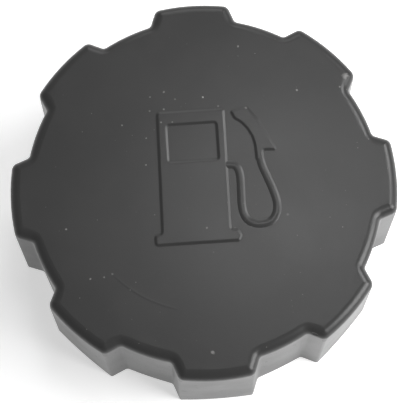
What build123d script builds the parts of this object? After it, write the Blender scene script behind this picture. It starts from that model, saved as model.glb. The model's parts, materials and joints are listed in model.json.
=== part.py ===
from build123d import *
import math
import os

# Fuel filler cap: a grip cover with eight lobes over a threaded closure with a pressure and vacuum valve.
# Frame: +Z along the cap's axis and out of the top, origin at the centre of the cover's bottom rim,
# one lobe centred on +Y. All lengths are in millimetres and all angles in degrees.

# Closure: the threaded skirt and its roof
THREAD_BORE_RADIUS = 30.5
THREAD_BORE_LENGTH = 12.0
THREAD_MOUTH_CHAMFER = 1.0
SKIRT_RECESS = 1.0
SKIRT_WALL = 2.5
CLOSURE_ROOF = 3.0
GASKET_THICKNESS = 2.5
GASKET_GROOVE_DEPTH = 0.7
GASKET_CHAMFER = 0.3
GASKET_TO_WELL = 3.0
WELL_GAP = 0.6
WELL_WALL = 2.2
CEILING_WALL = 2.2
TOWER_WALL = 2.0
CLOSURE_RIB_THICKNESS = 1.6
CLOSURE_RIBS = 8

# Ratchet between the closure and the cover
RATCHET_TEETH = 24
TOOTH_ROOT_STEP = 0.2
TOOTH_DEPTH = 1.5
TOOTH_LAND = 0.12
FLANGE_REACH = 0.9
FLANGE_THICKNESS = 1.4
FLANGE_TO_ROOF = 0.5
CROWN_HEIGHT = 5.0
CROWN_WALL = 2.6
PAWL_LIFT = 0.42
PAWL_THICKNESS = 1.2
PAWL_ROOT_ARC = 13.0
PAWL_ROOM = 1.6
PAWL_ABOVE_FLANGE = 1.6
CLICK_RING_WALL = 1.3
RETAINING_FLANGE = 2.6
THRUST_WASHER_THICKNESS = 0.8

# Grip cover
LOBES = 8
LOBE_START_ANGLE = 90.0
LOBE_DEPTH = 3.6
LOBE_FACE_HALF_ANGLE = 11.3
LOBE_ROOT_HALF_ANGLE = 14.4
RIM_CROWN = 0.4
RIM_CORNER_ROUND = 0.7
LOBE_CORNER_ROUND = 1.0
ROOT_CORNER_ROUND = 1.2
COVER_DOME_RISE = 0.7
COVER_DRAFT = 0.7
COVER_WALL = 2.6
COVER_TOP_WALL = 2.7
COVER_EDGE_ROUND = 2.5
EDGE_BLEND_HEIGHT = 5.0
POCKET_CORNER_ROUND = 1.0
THRUST_RING_WALL = 2.0
COVER_RIB_THICKNESS = 1.6
COVER_INNER_RIB_HEIGHT = 3.4
COVER_RIB_TO_FILTER = 2.2
SNAP_REACH = 0.9
SNAP_WIDTH = 7.0
SNAP_HEIGHT = 2.6
SNAP_LAND = 0.7

# Valve cage and what closes it
SEAT_RADIUS = 8.0
SEAT_LIP_WIDTH = 1.1
SEAT_TO_CAGE_WALL = 3.5
CAGE_WALL = 1.7
CAGE_FLOOR = 1.4
CAGE_FLANGE_THICKNESS = 1.6
CAGE_SEAL_THICKNESS = 0.8
CAGE_SEAL_WIDTH = 1.0
CAGE_WINDOWS = 6
CAGE_WINDOW_WIDTH = 5.0
CAGE_WINDOW_SILL = 0.7
CAGE_WINDOW_LINTEL = 0.2
RETAINER_THICKNESS = 1.2
RETAINER_LUGS = 3
RETAINER_LUG_WIDTH = 5.0
RETAINER_BELOW_TOP = 0.5
RETAINER_HOLE_GAP = 1.0
RETAINER_SPIGOT_WALL = 1.0
RETAINER_SPIGOT_DEPTH = 0.9
FILTER_WALL = 4.4
FILTER_CAP_WALL = 0.9
FILTER_CAP_DEPTH = 3.4
FILTER_CAP_TOP = 0.7
FILTER_CAP_SPIGOT = 1.0
BAFFLE_THICKNESS = 1.2
BAFFLE_DISH_DEPTH = 1.2
BAFFLE_DISH_TO_HEAD = 1.0
BAFFLE_DISH_SLOPE = 0.6
BAFFLE_SLOTS = 6
BAFFLE_SLOT_INSET = 3.0
BAFFLE_SLOT_WIDTH = 1.8
BAFFLE_SLOT_ARC = 34.0
SCREWS = 3
SCREW_START_ANGLE = 90.0
SCREW_RADIUS = 1.1
SCREW_LENGTH = 7.0
SCREW_HEAD_RADIUS = 2.0
SCREW_HEAD_HEIGHT = 1.1
SCREW_BOSS_RADIUS = 2.5
SCREW_END_WALL = 1.2

# Pressure valve and vacuum valve
PRESSURE_TRAVEL = 2.0
VACUUM_TRAVEL = 1.0
PRESSURE_SEAL_THICKNESS = 1.2
PRESSURE_SEAL_INSET = 0.6
PLATE_THICKNESS = 1.2
PLATE_TO_CAGE_WALL = 1.4
PLATE_GUIDES = 4
PLATE_GUIDE_WIDTH = 4.0
CLAMP_WIDTH = 2.55
HUB_RISE = 0.8
CLAMP_THICKNESS = 0.7
CLAMP_TO_SEAT = 0.8
HUB_BELOW_CLAMP = 0.3
POPPET_TO_BAFFLE = 0.4
VACUUM_PORTS = 6
VACUUM_PORT_RADIUS = 0.6
VACUUM_SEAL_THICKNESS = 0.8
POPPET_HEAD_THICKNESS = 0.8
STEM_RADIUS = 1.15
STEM_ABOVE_CLIP = 0.5
STEM_GROOVE_DEPTH = 0.3
CLIP_MOUTH = 1.5
CLIP_THICKNESS = 0.6
CLIP_REACH = 1.0
PRESSURE_SPRING_TO_CAGE_WALL = 3.4
PRESSURE_SPRING_WIRE = 0.9
PRESSURE_SPRING_TURNS = 3
PRESSURE_SPRING_SPARE = 1.1
VACUUM_SPRING_TO_STEM = 0.85
VACUUM_SPRING_WIRE = 0.4
VACUUM_SPRING_TURNS = 4
VACUUM_SPRING_SPARE = 0.2
SPRING_GRIND = 1 / 3
WIRE_SIDES = 8

# Clearances and limits
KEY_CLEARANCE = 0.3
MOVING_GAP = 0.3
SEAT_FIT = 0.1
GUIDE_FIT = 0.05
SCREW_CLEARANCE = 0.2
RETAINING_BORE_GAP = 0.4
TOP_GAP = 0.4
BLANK_ALLOWANCE = 1.0
FLANK_ROUNDS = 1.6
EDGE_CORNER_SPARE = 0.6
ON_CIRCLE = 0.01

# Heights worked out from the sizes above
SKIRT_Z = SKIRT_RECESS
BORE_START_Z = SKIRT_Z + THREAD_MOUTH_CHAMFER
BORE_END_Z = BORE_START_Z + THREAD_BORE_LENGTH
GASKET_Z = BORE_END_Z + MOVING_GAP
SEAT_Z = GASKET_Z + GASKET_THICKNESS
ROOF_TOP_Z = SEAT_Z + CLOSURE_ROOF
FLANGE_Z = SEAT_Z + FLANGE_TO_ROOF
FLANGE_TOP_Z = FLANGE_Z + FLANGE_THICKNESS
CROWN_TOP_Z = ROOF_TOP_Z + CROWN_HEIGHT
RETAINER_RING_TOP_Z = FLANGE_Z - MOVING_GAP
RETAINER_RING_Z = RETAINER_RING_TOP_Z - RETAINING_FLANGE
CLICK_Z = FLANGE_TOP_Z + PAWL_ABOVE_FLANGE
CLICK_TOP_Z = CROWN_TOP_Z + MOVING_GAP
WASHER_Z = CROWN_TOP_Z + MOVING_GAP
THRUST_RING_Z = WASHER_Z + THRUST_WASHER_THICKNESS

BAFFLE_Z = GASKET_Z + BAFFLE_DISH_DEPTH + MOVING_GAP
CAGE_FLANGE_Z = BAFFLE_Z + BAFFLE_THICKNESS
CAGE_FLANGE_TOP_Z = CAGE_FLANGE_Z + CAGE_FLANGE_THICKNESS
CAGE_CEILING_Z = CAGE_FLANGE_TOP_Z + CAGE_SEAL_THICKNESS
CEILING_TOP_Z = CAGE_CEILING_Z + CEILING_WALL
TOWER_TOP_Z = BAFFLE_Z + SCREW_LENGTH + SCREW_END_WALL
CAGE_FLOOR_Z = CAGE_FLANGE_TOP_Z - CAGE_FLOOR
DISH_TOP_Z = BAFFLE_Z - BAFFLE_DISH_DEPTH + BAFFLE_THICKNESS
POPPET_Z = DISH_TOP_Z + POPPET_TO_BAFFLE + VACUUM_TRAVEL
VACUUM_SEAL_Z = POPPET_Z + POPPET_HEAD_THICKNESS
HUB_Z = VACUUM_SEAL_Z + VACUUM_SEAL_THICKNESS
CLAMP_Z = HUB_Z + HUB_BELOW_CLAMP
SEAT_LIP_Z = CLAMP_Z + CLAMP_THICKNESS
PLATE_Z = SEAT_LIP_Z + PRESSURE_SEAL_THICKNESS
PLATE_TOP_Z = PLATE_Z + PLATE_THICKNESS
HUB_TOP_Z = PLATE_TOP_Z + HUB_RISE
VACUUM_SPRING_LENGTH = (VACUUM_SPRING_TURNS + 1) * VACUUM_SPRING_WIRE + VACUUM_TRAVEL + VACUUM_SPRING_SPARE
CLIP_Z = HUB_TOP_Z + VACUUM_SPRING_LENGTH
STEM_TOP_Z = CLIP_Z + CLIP_THICKNESS + STEM_ABOVE_CLIP
PRESSURE_SPRING_SOLID = (PRESSURE_SPRING_TURNS + 1) * PRESSURE_SPRING_WIRE
RETAINER_Z = PLATE_TOP_Z + PRESSURE_SPRING_SOLID + PRESSURE_TRAVEL + PRESSURE_SPRING_SPARE
RETAINER_TOP_Z = RETAINER_Z + RETAINER_THICKNESS
CAGE_TOP_Z = RETAINER_TOP_Z + RETAINER_BELOW_TOP

COVER_CEILING_Z = CAGE_TOP_Z + FILTER_CAP_TOP + TOP_GAP
COVER_EDGE_Z = COVER_CEILING_Z + COVER_TOP_WALL
COVER_TOP_Z = COVER_EDGE_Z + COVER_DOME_RISE

# Radii worked out from the sizes above, from the neck's bore outwards
SKIRT_OUTER_RADIUS = THREAD_BORE_RADIUS + SKIRT_WALL
GASKET_RADIUS = THREAD_BORE_RADIUS + GASKET_GROOVE_DEPTH
RETAINING_BORE_RADIUS = SKIRT_OUTER_RADIUS + RETAINING_BORE_GAP
TOOTH_ROOT_RADIUS = SKIRT_OUTER_RADIUS + TOOTH_ROOT_STEP
TOOTH_TIP_RADIUS = TOOTH_ROOT_RADIUS + TOOTH_DEPTH
CROWN_INNER_RADIUS = TOOTH_ROOT_RADIUS - CROWN_WALL
THRUST_RING_RADIUS = CROWN_INNER_RADIUS + CROWN_WALL / 2 - THRUST_RING_WALL / 2
FLANGE_RADIUS = TOOTH_TIP_RADIUS + FLANGE_REACH
CLICK_RING_INNER_RADIUS = FLANGE_RADIUS + PAWL_ROOM
DRAFT_SLOPE = math.tan(math.radians(COVER_DRAFT))
ROOT_POCKET_RADIUS = CLICK_RING_INNER_RADIUS + CLICK_RING_WALL + KEY_CLEARANCE + CLICK_TOP_Z * DRAFT_SLOPE
ROOT_RADIUS = ROOT_POCKET_RADIUS + COVER_WALL
LOBE_RADIUS = ROOT_RADIUS + LOBE_DEPTH

# Radii of the valve, from its seat outwards and inwards
SEAT_LIP_RADIUS = SEAT_RADIUS + SEAT_LIP_WIDTH
CAGE_INNER_RADIUS = SEAT_LIP_RADIUS + SEAT_TO_CAGE_WALL
CAGE_OUTER_RADIUS = CAGE_INNER_RADIUS + CAGE_WALL
SCREW_CIRCLE_RADIUS = CAGE_OUTER_RADIUS + CAGE_SEAL_WIDTH + 2 * SEAT_FIT + SCREW_BOSS_RADIUS
CAGE_FLANGE_RADIUS = SCREW_CIRCLE_RADIUS + SCREW_HEAD_RADIUS
WELL_RADIUS = CAGE_FLANGE_RADIUS + WELL_GAP
GASKET_INNER_RADIUS = WELL_RADIUS + GASKET_TO_WELL
TOWER_BORE_RADIUS = CAGE_OUTER_RADIUS + KEY_CLEARANCE
TOWER_RADIUS = TOWER_BORE_RADIUS + TOWER_WALL
FILTER_BORE_RADIUS = CAGE_OUTER_RADIUS + SEAT_FIT
FILTER_RADIUS = FILTER_BORE_RADIUS + FILTER_WALL
FILTER_CAP_RADIUS = FILTER_RADIUS + SEAT_FIT + FILTER_CAP_WALL
COVER_INNER_RIB_START = FILTER_CAP_RADIUS + COVER_RIB_TO_FILTER
BAFFLE_DISH_RADIUS = SCREW_CIRCLE_RADIUS - SCREW_HEAD_RADIUS - BAFFLE_DISH_TO_HEAD
BAFFLE_SLOT_RADIUS = BAFFLE_DISH_RADIUS - BAFFLE_SLOT_INSET
PLATE_RADIUS = CAGE_INNER_RADIUS - PLATE_TO_CAGE_WALL
PRESSURE_SEAL_RADIUS = PLATE_RADIUS - PRESSURE_SEAL_INSET
PRESSURE_SPRING_RADIUS = CAGE_INNER_RADIUS - PRESSURE_SPRING_TO_CAGE_WALL
CLAMP_RADIUS = SEAT_RADIUS - CLAMP_TO_SEAT
HUB_RADIUS = CLAMP_RADIUS - CLAMP_WIDTH - GUIDE_FIT
STEM_BORE_RADIUS = STEM_RADIUS + GUIDE_FIT
VACUUM_PORT_CIRCLE_RADIUS = (STEM_BORE_RADIUS + HUB_RADIUS) / 2
VACUUM_SPRING_RADIUS = STEM_RADIUS + VACUUM_SPRING_TO_STEM + VACUUM_SPRING_WIRE / 2
CLIP_RADIUS = VACUUM_SPRING_RADIUS + CLIP_REACH
RETAINER_HOLE_RADIUS = CLIP_RADIUS + RETAINER_HOLE_GAP
LOBE_STEP = 360 / LOBES
TOOTH_STEP = 360 / RATCHET_TEETH


def polar(radius, angle):
    """Point in the XY plane at a radius and an angle in degrees."""
    return (radius * math.cos(math.radians(angle)), radius * math.sin(math.radians(angle)))


def slab(face, low, high):
    """Prism of a flat face between two heights."""
    return extrude(Pos(0, 0, low) * face, amount=high - low)


def ring(inner, outer, low, high):
    """Plain ring between two radii and two heights."""
    return slab(Circle(outer) - Circle(inner), low, high)


def disc(radius, low, high):
    """Plain disc between two heights."""
    return slab(Circle(radius), low, high)


def turned(points):
    """Body of revolution about Z from a closed outline of (radius, height) points."""
    outline = Plane.XZ * Polygon(*points, align=None)
    return revolve(outline, axis=Axis.Z)


def spokes(count, start, inner, outer, thickness, low, high):
    """Radial ribs of one thickness between two radii, spaced evenly from a start angle."""
    rib = Pos((inner + outer) / 2, 0, 0) * Rectangle(outer - inner, thickness)
    return [slab(Rot(0, 0, start + 360 / count * i) * rib, low, high) for i in range(count)]


def flank_angle(inset, radius):
    """Half-angle at which a lobe's flank, moved inwards by an inset, meets a circle."""
    tip = polar(LOBE_RADIUS, LOBE_FACE_HALF_ANGLE)
    foot = polar(ROOT_RADIUS, LOBE_ROOT_HALF_ANGLE)
    length = math.dist(tip, foot)
    along = ((foot[0] - tip[0]) / length, (foot[1] - tip[1]) / length)
    start = (tip[0] - along[1] * inset, tip[1] + along[0] * inset)
    middle = -(start[0] * along[0] + start[1] * along[1])
    reach = radius**2 - (start[0] + along[0] * middle) ** 2 - (start[1] + along[1] * middle) ** 2
    travel = middle - math.sqrt(reach)
    return math.degrees(math.atan2(start[1] + along[1] * travel, start[0] + along[0] * travel))


def bowed(radius, half_angle, height):
    """Radius of a face's middle: its corners' radius at the top, and nearer the flat chord at the rim."""
    crown = RIM_CROWN + (1 - RIM_CROWN) * height / COVER_TOP_Z
    return radius * (crown + (1 - crown) * math.cos(math.radians(half_angle)))


def root_middle(height, inset):
    """Radius at the middle of the face between two lobes, moved inwards by an inset."""
    inward = inset + height * DRAFT_SLOPE
    radius = ROOT_RADIUS - inward
    return bowed(radius, LOBE_STEP / 2 - flank_angle(inward, radius), height)


def lobed_face(height, inset, tip_round, root_round):
    """Outline of the lobed skirt at one height, moved inwards by an inset, with rounded corners."""
    inward = inset + height * DRAFT_SLOPE
    tip_radius = LOBE_RADIUS - inward
    root_radius = ROOT_RADIUS - inward
    face_half = flank_angle(inward, tip_radius)
    root_half = flank_angle(inward, root_radius)
    flank = math.dist(polar(tip_radius, face_half), polar(root_radius, root_half))
    fit = min(1, flank * FLANK_ROUNDS / (tip_round + root_round))
    face_middle = bowed(tip_radius, face_half, height)
    edges = []
    for i in range(LOBES):
        centre = LOBE_START_ANGLE + LOBE_STEP * i
        foot_in = polar(root_radius, centre - root_half)
        tip_in = polar(tip_radius, centre - face_half)
        tip_out = polar(tip_radius, centre + face_half)
        foot_out = polar(root_radius, centre + root_half)
        next_foot = polar(root_radius, centre + LOBE_STEP - root_half)
        edges.append(Line(foot_in, tip_in))
        edges.append(ThreePointArc(tip_in, polar(face_middle, centre), tip_out))
        edges.append(Line(tip_out, foot_out))
        middle = polar(root_middle(height, inset), centre + LOBE_STEP / 2)
        edges.append(ThreePointArc(foot_out, middle, next_foot))
    face = make_face(edges)
    middle_radius = (tip_radius + root_radius) / 2
    tips = [v for v in face.vertices() if math.hypot(v.X, v.Y) > middle_radius]
    face = fillet(tips, tip_round * fit)
    roots = [v for v in face.vertices() if abs(math.hypot(v.X, v.Y) - root_radius) < ON_CIRCLE]
    return Pos(0, 0, height) * fillet(roots, root_round * fit)


def lobed_prism(inset, sections):
    """Drafted prism of the lobed outline through sections of (height, tip round, root round)."""
    faces = [lobed_face(height, inset, tip, root).face() for height, tip, root in sections]
    return loft(faces, ruled=True)


def pocket_prism(low, high, clearance):
    """Drafted prism that fills the cover's lobed inside, less a clearance."""
    root_round = ROOT_CORNER_ROUND + COVER_WALL + clearance
    sections = [(height, POCKET_CORNER_ROUND, root_round) for height in (low, high)]
    return lobed_prism(COVER_WALL + clearance, sections)


def grip_cover():
    """Lobed cover with a domed top, hollow lobes, thrust ring, ribs and snap ledges."""
    cover = lobed_prism(
        0,
        [
            (0, RIM_CORNER_ROUND, ROOT_CORNER_ROUND),
            (COVER_EDGE_Z - EDGE_BLEND_HEIGHT, LOBE_CORNER_ROUND, ROOT_CORNER_ROUND),
            (COVER_TOP_Z + BLANK_ALLOWANCE, COVER_EDGE_ROUND + EDGE_CORNER_SPARE, ROOT_CORNER_ROUND),
        ],
    )
    dome_radius = (LOBE_RADIUS**2 + COVER_DOME_RISE**2) / (2 * COVER_DOME_RISE)
    cover = cover & Pos(0, 0, COVER_TOP_Z - dome_radius) * Sphere(dome_radius)
    top_face = cover.faces().sort_by(Axis.Z)[-1]
    cover = fillet(top_face.outer_wire().edges(), COVER_EDGE_ROUND)
    cover = cover - pocket_prism(0, COVER_CEILING_Z, 0)
    thrust_outer = THRUST_RING_RADIUS + THRUST_RING_WALL
    wall_middle = ROOT_RADIUS - COVER_WALL / 2
    cover = cover + ring(THRUST_RING_RADIUS, thrust_outer, THRUST_RING_Z, COVER_CEILING_Z)
    cover = cover + spokes(
        LOBES,
        LOBE_STEP / 2,
        thrust_outer - THRUST_RING_WALL / 2,
        wall_middle,
        COVER_RIB_THICKNESS,
        CLICK_TOP_Z,
        COVER_CEILING_Z,
    )
    cover = cover + spokes(
        LOBES,
        LOBE_STEP / 2,
        COVER_INNER_RIB_START,
        THRUST_RING_RADIUS + THRUST_RING_WALL / 2,
        COVER_RIB_THICKNESS,
        COVER_CEILING_Z - COVER_INNER_RIB_HEIGHT,
        COVER_CEILING_Z,
    )
    cover = cover - disc(thrust_outer, CLICK_TOP_Z, THRUST_RING_Z)
    ledge_top = RETAINER_RING_Z
    wall_inside = root_middle(ledge_top, COVER_WALL)
    ledge = Plane.XZ * Polygon(
        (wall_middle, ledge_top - SNAP_HEIGHT),
        (wall_inside, ledge_top - SNAP_HEIGHT),
        (wall_inside - SNAP_REACH, ledge_top - SNAP_LAND),
        (wall_inside - SNAP_REACH, ledge_top),
        (wall_middle, ledge_top),
        align=None,
    )
    ledge = extrude(ledge, amount=SNAP_WIDTH / 2, both=True)
    return cover + [Rot(0, 0, LOBE_STEP * (i + 0.5)) * ledge for i in range(LOBES)]


def pawl_face():
    """One spring pawl, with its tip against the steep face of a tooth at angle 0."""
    tip_angle = -math.degrees(MOVING_GAP / TOOTH_ROOT_RADIUS)
    root_angle = -TOOTH_STEP - PAWL_ROOT_ARC
    inner_tip = TOOTH_ROOT_RADIUS + PAWL_LIFT
    inner_middle = inner_tip + TOOTH_DEPTH / 2
    inner_heel = inner_tip + TOOTH_DEPTH
    inner_root = CLICK_RING_INNER_RADIUS + PAWL_THICKNESS / 4
    inner_neck = (inner_heel + inner_root) / 2
    outer_tip = inner_tip + PAWL_THICKNESS
    outer_heel = inner_heel + PAWL_THICKNESS
    outer_root = inner_root + PAWL_THICKNESS / 2
    half_root = (root_angle - TOOTH_STEP) / 2
    return make_face(
        [
            ThreePointArc(
                polar(inner_tip, tip_angle),
                polar(inner_middle, (tip_angle - TOOTH_STEP) / 2),
                polar(inner_heel, -TOOTH_STEP),
            ),
            ThreePointArc(
                polar(inner_heel, -TOOTH_STEP),
                polar(inner_neck, half_root),
                polar(inner_root, root_angle),
            ),
            Line(polar(inner_root, root_angle), polar(outer_root, root_angle)),
            ThreePointArc(
                polar(outer_root, root_angle),
                polar(outer_heel, -TOOTH_STEP),
                polar(outer_tip, tip_angle),
            ),
            Line(polar(outer_tip, tip_angle), polar(inner_tip, tip_angle)),
        ]
    )


def click_ring():
    """Ring keyed into the cover's lobes, with one spring pawl for each lobe."""
    band = pocket_prism(CLICK_Z, CLICK_TOP_Z, KEY_CLEARANCE)
    band = band - disc(CLICK_RING_INNER_RADIUS, CLICK_Z, CLICK_TOP_Z)
    pawl = slab(pawl_face(), CLICK_Z, CLICK_TOP_Z)
    return band + [Rot(0, 0, LOBE_STEP * i) * pawl for i in range(LOBES)]


def retaining_ring():
    """Ring under the closure's flange, with a rim that carries the click ring."""
    body = pocket_prism(RETAINER_RING_Z, CLICK_Z, KEY_CLEARANCE)
    body = body - disc(RETAINING_BORE_RADIUS, RETAINER_RING_Z, RETAINER_RING_TOP_Z)
    return body - disc(CLICK_RING_INNER_RADIUS, RETAINER_RING_TOP_Z, CLICK_Z)


def thrust_washer():
    """Flat slip washer under the cover's thrust ring."""
    inner = CROWN_INNER_RADIUS + SEAT_FIT
    outer = THRUST_RING_RADIUS + THRUST_RING_WALL - SEAT_FIT
    return ring(inner, outer, WASHER_Z, THRUST_RING_Z)


def ratchet_teeth():
    """Saw teeth round the crown, steep on the side that meets a pawl's tip."""
    points = []
    for i in range(RATCHET_TEETH):
        points.append(polar(TOOTH_TIP_RADIUS, TOOTH_STEP * i + TOOTH_LAND))
        points.append(polar(TOOTH_ROOT_RADIUS, TOOTH_STEP * (i + 1)))
    outline = Polygon(*points, align=None) - Circle(TOOTH_ROOT_RADIUS - CROWN_WALL / 2)
    return slab(outline, FLANGE_TOP_Z, CROWN_TOP_Z)


def screw_places():
    """Places of the cage screws on their circle."""
    return PolarLocations(SCREW_CIRCLE_RADIUS, SCREWS, start_angle=SCREW_START_ANGLE)


def threaded_cap():
    """Closure with its skirt, gasket groove, valve well, crown of ratchet teeth and ribs."""
    groove_radius = GASKET_RADIUS + SEAT_FIT
    well_outer = WELL_RADIUS + WELL_WALL
    body = turned(
        [
            (THREAD_BORE_RADIUS, BORE_START_Z),
            (THREAD_BORE_RADIUS, BORE_END_Z),
            (groove_radius, BORE_END_Z),
            (groove_radius, SEAT_Z),
            (WELL_RADIUS, SEAT_Z),
            (WELL_RADIUS, CAGE_CEILING_Z),
            (TOWER_BORE_RADIUS, CAGE_CEILING_Z),
            (TOWER_BORE_RADIUS, TOWER_TOP_Z),
            (TOWER_RADIUS, TOWER_TOP_Z),
            (TOWER_RADIUS, CEILING_TOP_Z),
            (well_outer, CEILING_TOP_Z),
            (well_outer, ROOF_TOP_Z),
            (CROWN_INNER_RADIUS, ROOF_TOP_Z),
            (CROWN_INNER_RADIUS, CROWN_TOP_Z),
            (TOOTH_ROOT_RADIUS, CROWN_TOP_Z),
            (TOOTH_ROOT_RADIUS, FLANGE_TOP_Z),
            (FLANGE_RADIUS, FLANGE_TOP_Z),
            (FLANGE_RADIUS, FLANGE_Z),
            (SKIRT_OUTER_RADIUS, FLANGE_Z),
            (SKIRT_OUTER_RADIUS, SKIRT_Z),
            (THREAD_BORE_RADIUS + THREAD_MOUTH_CHAMFER, SKIRT_Z),
        ]
    )
    body = body + ratchet_teeth()
    body = body + spokes(
        CLOSURE_RIBS,
        180 / CLOSURE_RIBS,
        well_outer - WELL_WALL / 2,
        CROWN_INNER_RADIUS + CROWN_WALL / 2,
        CLOSURE_RIB_THICKNESS,
        ROOF_TOP_Z,
        CEILING_TOP_Z,
    )
    boss = slab(Circle(SCREW_BOSS_RADIUS), CAGE_FLANGE_TOP_Z, TOWER_TOP_Z)
    pilot_top = BAFFLE_Z + SCREW_LENGTH + MOVING_GAP
    pilot = slab(Circle(SCREW_RADIUS + GUIDE_FIT), CAGE_FLANGE_TOP_Z, pilot_top)
    body = body + [place * boss for place in screw_places()]
    return body - [place * pilot for place in screw_places()]


def neck_gasket():
    """Flat ring in the groove above the thread, with its edges eased."""
    gasket = ring(GASKET_INNER_RADIUS, GASKET_RADIUS, GASKET_Z, SEAT_Z)
    return chamfer(gasket.edges().filter_by(GeomType.CIRCLE), GASKET_CHAMFER)


def screw_clearance(low, high):
    """Clearance holes for the cage screws between two heights."""
    hole = slab(Circle(SCREW_RADIUS + SCREW_CLEARANCE), low, high)
    return [place * hole for place in screw_places()]


def valve_cage():
    """Cup with the pressure seat in its floor, windows near its top and a screwed flange."""
    body = turned(
        [
            (SEAT_RADIUS, CAGE_FLOOR_Z),
            (CAGE_OUTER_RADIUS, CAGE_FLOOR_Z),
            (CAGE_OUTER_RADIUS, CAGE_FLANGE_Z),
            (CAGE_FLANGE_RADIUS, CAGE_FLANGE_Z),
            (CAGE_FLANGE_RADIUS, CAGE_FLANGE_TOP_Z),
            (CAGE_OUTER_RADIUS, CAGE_FLANGE_TOP_Z),
            (CAGE_OUTER_RADIUS, CAGE_TOP_Z),
            (CAGE_INNER_RADIUS, CAGE_TOP_Z),
            (CAGE_INNER_RADIUS, CAGE_FLANGE_TOP_Z),
            (SEAT_LIP_RADIUS, CAGE_FLANGE_TOP_Z),
            (SEAT_LIP_RADIUS, SEAT_LIP_Z),
            (SEAT_RADIUS, SEAT_LIP_Z),
        ]
    )
    windows = spokes(
        CAGE_WINDOWS,
        180 / CAGE_WINDOWS,
        CAGE_INNER_RADIUS - CAGE_WALL,
        CAGE_OUTER_RADIUS + CAGE_WALL,
        CAGE_WINDOW_WIDTH,
        TOWER_TOP_Z + CAGE_WINDOW_SILL,
        RETAINER_Z - CAGE_WINDOW_LINTEL,
    )
    slots = spokes(
        RETAINER_LUGS,
        0,
        CAGE_INNER_RADIUS - CAGE_WALL,
        CAGE_OUTER_RADIUS + CAGE_WALL,
        RETAINER_LUG_WIDTH + 2 * SEAT_FIT,
        RETAINER_Z,
        RETAINER_TOP_Z,
    )
    return body - windows - slots - screw_clearance(CAGE_FLANGE_Z, CAGE_FLANGE_TOP_Z)


def cage_seal():
    """Flat ring between the cage's flange and the closure."""
    inner = CAGE_OUTER_RADIUS + SEAT_FIT
    return ring(inner, inner + CAGE_SEAL_WIDTH, CAGE_FLANGE_TOP_Z, CAGE_CEILING_Z)


def splash_baffle():
    """Dished plate under the valve, with curved slots near its edge."""
    dish_z = DISH_TOP_Z - BAFFLE_THICKNESS
    body = turned(
        [
            (0, dish_z),
            (BAFFLE_DISH_RADIUS, dish_z),
            (BAFFLE_DISH_RADIUS + BAFFLE_DISH_SLOPE, BAFFLE_Z),
            (CAGE_FLANGE_RADIUS, BAFFLE_Z),
            (CAGE_FLANGE_RADIUS, CAGE_FLANGE_Z),
            (BAFFLE_DISH_RADIUS, CAGE_FLANGE_Z),
            (BAFFLE_DISH_RADIUS - BAFFLE_DISH_SLOPE, DISH_TOP_Z),
            (0, DISH_TOP_Z),
        ]
    )
    inner = BAFFLE_SLOT_RADIUS - BAFFLE_SLOT_WIDTH / 2
    outer = BAFFLE_SLOT_RADIUS + BAFFLE_SLOT_WIDTH / 2
    half = BAFFLE_SLOT_ARC / 2
    slot = make_face(
        [
            ThreePointArc(polar(inner, -half), (inner, 0), polar(inner, half)),
            Line(polar(inner, half), polar(outer, half)),
            ThreePointArc(polar(outer, half), (outer, 0), polar(outer, -half)),
            Line(polar(outer, -half), polar(inner, -half)),
        ]
    )
    slot = slab(slot, dish_z, CAGE_FLANGE_Z)
    slots = [Rot(0, 0, 360 / BAFFLE_SLOTS * i) * slot for i in range(BAFFLE_SLOTS)]
    return body - slots - screw_clearance(BAFFLE_Z, CAGE_FLANGE_Z)


def cage_screws():
    """Three pan-head screws up through the baffle and the cage's flange."""
    head = slab(Circle(SCREW_HEAD_RADIUS), BAFFLE_Z - SCREW_HEAD_HEIGHT, BAFFLE_Z)
    head = fillet(head.edges().group_by(Axis.Z)[0], SCREW_HEAD_HEIGHT / 2)
    screw = head + slab(Circle(SCREW_RADIUS), BAFFLE_Z, BAFFLE_Z + SCREW_LENGTH)
    return Compound([place * screw for place in screw_places()])


def spring_retainer():
    """Disc on the pressure spring, with lugs in the cage's slots and a ring inside the spring."""
    plate = ring(RETAINER_HOLE_RADIUS, CAGE_INNER_RADIUS - SEAT_FIT, RETAINER_Z, RETAINER_TOP_Z)
    lugs = spokes(
        RETAINER_LUGS,
        0,
        CAGE_INNER_RADIUS - CAGE_WALL,
        CAGE_OUTER_RADIUS,
        RETAINER_LUG_WIDTH,
        RETAINER_Z,
        RETAINER_TOP_Z,
    )
    lugs = [lug & disc(CAGE_OUTER_RADIUS, RETAINER_Z, RETAINER_TOP_Z) for lug in lugs]
    spigot_outer = PRESSURE_SPRING_RADIUS - PRESSURE_SPRING_WIRE / 2 - MOVING_GAP
    spigot_inner = spigot_outer - RETAINER_SPIGOT_WALL
    spigot = ring(spigot_inner, spigot_outer, RETAINER_Z - RETAINER_SPIGOT_DEPTH, RETAINER_Z)
    return plate + lugs + spigot


def vent_filter():
    """Foam ring round the cage's windows."""
    return ring(FILTER_BORE_RADIUS, FILTER_RADIUS, TOWER_TOP_Z, CAGE_TOP_Z)


def filter_cap():
    """Lid over the filter, with a skirt outside it and a spigot in the cage's mouth."""
    skirt_inner = FILTER_CAP_RADIUS - FILTER_CAP_WALL
    spigot_outer = CAGE_INNER_RADIUS - SEAT_FIT
    lid = disc(FILTER_CAP_RADIUS, CAGE_TOP_Z, CAGE_TOP_Z + FILTER_CAP_TOP)
    lid = lid + ring(skirt_inner, FILTER_CAP_RADIUS, CAGE_TOP_Z - FILTER_CAP_DEPTH, CAGE_TOP_Z)
    return lid + ring(spigot_outer - FILTER_CAP_SPIGOT, spigot_outer, RETAINER_TOP_Z, CAGE_TOP_Z)


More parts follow.
